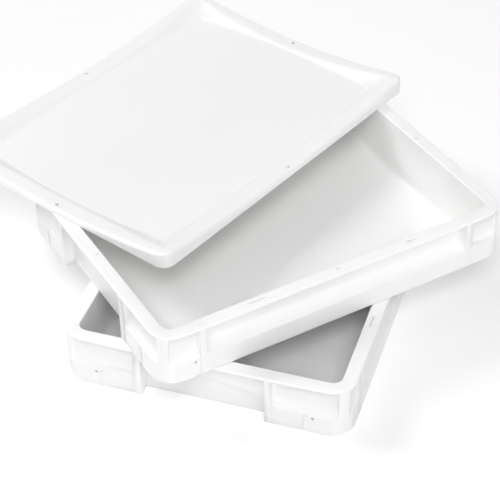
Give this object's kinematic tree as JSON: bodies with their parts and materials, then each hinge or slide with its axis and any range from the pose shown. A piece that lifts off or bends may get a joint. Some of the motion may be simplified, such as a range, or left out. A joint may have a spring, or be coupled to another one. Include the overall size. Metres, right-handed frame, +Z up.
{
  "type": "dough proofing container",
  "caption": "Stack of shallow rectangular dough proofing trays with corner blocks and hand grips, and a loose lid with raised corners.",
  "frame": {"origin": "middle of the lower tray's underside, on the surface it stands on", "axes": "+Z up, X along the lower tray's long side, Y along its short side; the upper tray and the lid lie turned about Z as in the picture"},
  "size_m": [0.5749, 0.567, 0.134],
  "materials": {
    "white_plastic": "satin, as moulded"
  },
  "bodies": {
    "lower_tray": {"lower_tray": "white_plastic"},
    "upper_tray": {"upper_tray": "white_plastic"},
    "lid": {"lid": "white_plastic"}
  },
  "joints": [
    {"name": "upper_tray_lift", "type": "slide", "parent": "lower_tray", "child": "upper_tray", "axis": [0, 0, 1], "range_m": [0, 0.1]},
    {"name": "lid_lift", "type": "slide", "parent": "upper_tray", "child": "lid", "axis": [0, 0, 1], "range_m": [0, 0.1]}
  ]
}
